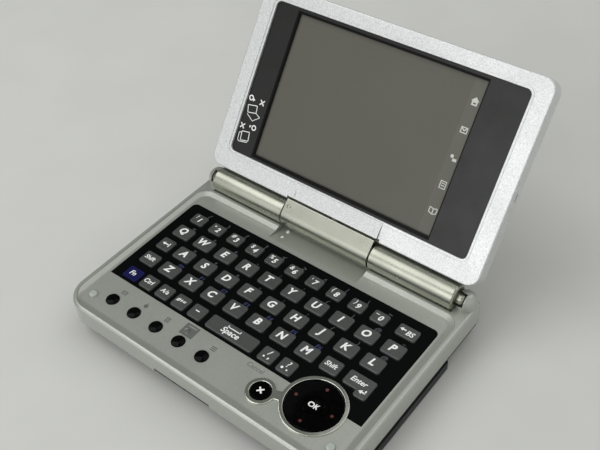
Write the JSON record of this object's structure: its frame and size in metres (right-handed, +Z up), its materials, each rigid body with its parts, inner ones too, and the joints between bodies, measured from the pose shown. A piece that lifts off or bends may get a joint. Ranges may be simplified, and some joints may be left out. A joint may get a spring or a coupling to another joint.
{
  "type": "handheld electronic organizer",
  "caption": "Pocket organizer: keyboard base with direction pad and buttons, and a screen lid that tilts on barrel hinges and swivels on a centre shaft.",
  "frame": {"origin": "centre of the flat underside of the battery cover, midway between the case's sides, front and rear", "axes": "+X to the right of a user at the keyboard, +Y to the rear, where the lid hinges, +Z up"},
  "size_m": [0.12, 0.1257, 0.0817],
  "materials": {
    "silver_case": "satin silver paint",
    "silver_lid": "fine sparkling silver paint",
    "black_case": "fine matt",
    "black_cover": "fine matt",
    "battery": "wrapped cell",
    "board": "varnished board",
    "mat": "silicone",
    "panel": "satin black",
    "chrome": "bright plated",
    "bumper": "clear soft",
    "hinge_chrome": "warm bright plated",
    "steel": "plain",
    "lens": "clear",
    "stylus": "satin",
    "screen_frame": "glossy print",
    "screen": "matt touch film",
    "display": "dark",
    "backlight": "white",
    "rubber": "matt",
    "pad": "glossy black",
    "key": "satin dark grey",
    "fn_key": "satin dark blue",
    "button": "glossy black"
  },
  "bodies": {
    "base": {"upper_case": "silver_case", "lower_case": "black_case", "battery_pack": "battery", "main_board": "board", "keypad_mat": "mat", "keyboard_panel": "panel", "pad_ring": "chrome", "deck_bumpers": "bumper", "left_hinge_cover": "hinge_chrome", "right_hinge_cover": "hinge_chrome", "hinge_caps": "hinge_chrome", "hinge_pins": "steel", "hinge_washers": "steel", "indicator_lenses": "lens", "card_socket": "steel", "earphone_jack": "black_case", "buzzer": "board", "case_screws": "steel", "rear_feet": "rubber"},
    "block": {"hinge_block": "hinge_chrome", "swivel_shaft": "steel", "swivel_clip": "steel"},
    "lid": {"lid_front_cover": "silver_lid", "lid_back_cover": "silver_lid", "lid_hinge_trim": "silver_lid", "screen_frame": "screen_frame", "touch_panel": "screen", "display_panel": "display", "backlight": "backlight", "swivel_bearing": "steel", "lid_screws": "steel"},
    "cover": {"battery_cover": "black_cover"},
    "latch": {"battery_latch": "black_cover"},
    "pen": {"stylus": "stylus"},
    "pad_rocker": {"pad_rocker_ring": "steel"},
    "pad": {"direction_pad": "pad"},
    "ok": {"ok_button": "pad"},
    "number_keys": {"number_keys": "key"},
    "backspace_key": {"backspace_key": "key"},
    "top_letter_keys": {"top_letter_keys": "key"},
    "tab_key": {"tab_key": "key"},
    "home_letter_keys": {"home_letter_keys": "key"},
    "left_shift_key": {"left_shift_key": "key"},
    "bottom_letter_keys": {"bottom_letter_keys": "key"},
    "right_shift_key": {"right_shift_key": "key"},
    "enter_key": {"enter_key": "key"},
    "fn_key": {"fn_key": "fn_key"},
    "ctrl_key": {"ctrl_key": "key"},
    "mode_key": {"mode_key": "key"},
    "symbol_key": {"symbol_key": "key"},
    "dash_key": {"dash_key": "key"},
    "space_key": {"space_key": "key"},
    "comma_key": {"comma_key": "key"},
    "period_key": {"period_key": "key"},
    "app_button_1": {"app_button_1": "button"},
    "app_button_2": {"app_button_2": "button"},
    "app_button_3": {"app_button_3": "button"},
    "app_button_4": {"app_button_4": "button"},
    "app_button_5": {"app_button_5": "button"},
    "cancel_button": {"cancel_button": "pad"}
  },
  "joints": [
    {"name": "lid_tilt", "type": "hinge", "parent": "base", "child": "block", "pos_m": [0, 0.0355, 0.018], "axis": [-1, 0, 0], "range_deg": [-126, 34]},
    {"name": "lid_swivel", "type": "hinge", "parent": "block", "child": "lid", "pos_m": [0, 0.04121, 0.02374], "axis": [0, 0.5878, 0.809], "range_deg": [0, 180]},
    {"name": "battery_cover_slide", "type": "slide", "parent": "base", "child": "cover", "axis": [0, 0, -1], "range_m": [0, 0.008]},
    {"name": "battery_latch_slide", "type": "slide", "parent": "base", "child": "latch", "axis": [1, 0, 0], "range_m": [0, 0.003]},
    {"name": "stylus_slide", "type": "slide", "parent": "base", "child": "pen", "axis": [0, 1, 0], "range_m": [0, 0.068]},
    {"name": "pad_rock_side", "type": "hinge", "parent": "base", "child": "pad_rocker", "pos_m": [0.039, -0.02495, 0.0118], "axis": [0, 1, 0], "range_deg": [-2.5, 2.5], "stiffness_Nm_per_rad": 0.05},
    {"name": "pad_rock_front", "type": "hinge", "parent": "pad_rocker", "child": "pad", "pos_m": [0.039, -0.02495, 0.0125], "axis": [1, 0, 0], "range_deg": [-2.5, 2.5], "stiffness_Nm_per_rad": 0.05},
    {"name": "ok_press", "type": "slide", "parent": "pad", "child": "ok", "axis": [0, 0, -1], "range_m": [0, 0.0005], "stiffness_N_per_m": 600, "springref_m": -0.0003},
    {"name": "number_keys_press", "type": "slide", "parent": "base", "child": "number_keys", "axis": [0, 0, -1], "range_m": [0, 0.0007], "stiffness_N_per_m": 600, "springref_m": -0.0003},
    {"name": "backspace_key_press", "type": "slide", "parent": "base", "child": "backspace_key", "axis": [0, 0, -1], "range_m": [0, 0.0007], "stiffness_N_per_m": 600, "springref_m": -0.0003},
    {"name": "top_letter_keys_press", "type": "slide", "parent": "base", "child": "top_letter_keys", "axis": [0, 0, -1], "range_m": [0, 0.0007], "stiffness_N_per_m": 600, "springref_m": -0.0003},
    {"name": "tab_key_press", "type": "slide", "parent": "base", "child": "tab_key", "axis": [0, 0, -1], "range_m": [0, 0.0007], "stiffness_N_per_m": 600, "springref_m": -0.0003},
    {"name": "home_letter_keys_press", "type": "slide", "parent": "base", "child": "home_letter_keys", "axis": [0, 0, -1], "range_m": [0, 0.0007], "stiffness_N_per_m": 600, "springref_m": -0.0003},
    {"name": "left_shift_key_press", "type": "slide", "parent": "base", "child": "left_shift_key", "axis": [0, 0, -1], "range_m": [0, 0.0007], "stiffness_N_per_m": 600, "springref_m": -0.0003},
    {"name": "bottom_letter_keys_press", "type": "slide", "parent": "base", "child": "bottom_letter_keys", "axis": [0, 0, -1], "range_m": [0, 0.0007], "stiffness_N_per_m": 600, "springref_m": -0.0003},
    {"name": "right_shift_key_press", "type": "slide", "parent": "base", "child": "right_shift_key", "axis": [0, 0, -1], "range_m": [0, 0.0007], "stiffness_N_per_m": 600, "springref_m": -0.0003},
    {"name": "enter_key_press", "type": "slide", "parent": "base", "child": "enter_key", "axis": [0, 0, -1], "range_m": [0, 0.0007], "stiffness_N_per_m": 600, "springref_m": -0.0003},
    {"name": "fn_key_press", "type": "slide", "parent": "base", "child": "fn_key", "axis": [0, 0, -1], "range_m": [0, 0.0007], "stiffness_N_per_m": 600, "springref_m": -0.0003},
    {"name": "ctrl_key_press", "type": "slide", "parent": "base", "child": "ctrl_key", "axis": [0, 0, -1], "range_m": [0, 0.0007], "stiffness_N_per_m": 600, "springref_m": -0.0003},
    {"name": "mode_key_press", "type": "slide", "parent": "base", "child": "mode_key", "axis": [0, 0, -1], "range_m": [0, 0.0007], "stiffness_N_per_m": 600, "springref_m": -0.0003},
    {"name": "symbol_key_press", "type": "slide", "parent": "base", "child": "symbol_key", "axis": [0, 0, -1], "range_m": [0, 0.0007], "stiffness_N_per_m": 600, "springref_m": -0.0003},
    {"name": "dash_key_press", "type": "slide", "parent": "base", "child": "dash_key", "axis": [0, 0, -1], "range_m": [0, 0.0007], "stiffness_N_per_m": 600, "springref_m": -0.0003},
    {"name": "space_key_press", "type": "slide", "parent": "base", "child": "space_key", "axis": [0, 0, -1], "range_m": [0, 0.0007], "stiffness_N_per_m": 600, "springref_m": -0.0003},
    {"name": "comma_key_press", "type": "slide", "parent": "base", "child": "comma_key", "axis": [0, 0, -1], "range_m": [0, 0.0007], "stiffness_N_per_m": 600, "springref_m": -0.0003},
    {"name": "period_key_press", "type": "slide", "parent": "base", "child": "period_key", "axis": [0, 0, -1], "range_m": [0, 0.0007], "stiffness_N_per_m": 600, "springref_m": -0.0003},
    {"name": "app_button_1_press", "type": "slide", "parent": "base", "child": "app_button_1", "axis": [0, 0, -1], "range_m": [0, 0.0007], "stiffness_N_per_m": 600, "springref_m": -0.0003},
    {"name": "app_button_2_press", "type": "slide", "parent": "base", "child": "app_button_2", "axis": [0, 0, -1], "range_m": [0, 0.0007], "stiffness_N_per_m": 600, "springref_m": -0.0003},
    {"name": "app_button_3_press", "type": "slide", "parent": "base", "child": "app_button_3", "axis": [0, 0, -1], "range_m": [0, 0.0007], "stiffness_N_per_m": 600, "springref_m": -0.0003},
    {"name": "app_button_4_press", "type": "slide", "parent": "base", "child": "app_button_4", "axis": [0, 0, -1], "range_m": [0, 0.0007], "stiffness_N_per_m": 600, "springref_m": -0.0003},
    {"name": "app_button_5_press", "type": "slide", "parent": "base", "child": "app_button_5", "axis": [0, 0, -1], "range_m": [0, 0.0007], "stiffness_N_per_m": 600, "springref_m": -0.0003},
    {"name": "cancel_button_press", "type": "slide", "parent": "base", "child": "cancel_button", "axis": [0, 0, -1], "range_m": [0, 0.0007], "stiffness_N_per_m": 600, "springref_m": -0.0003}
  ]
}
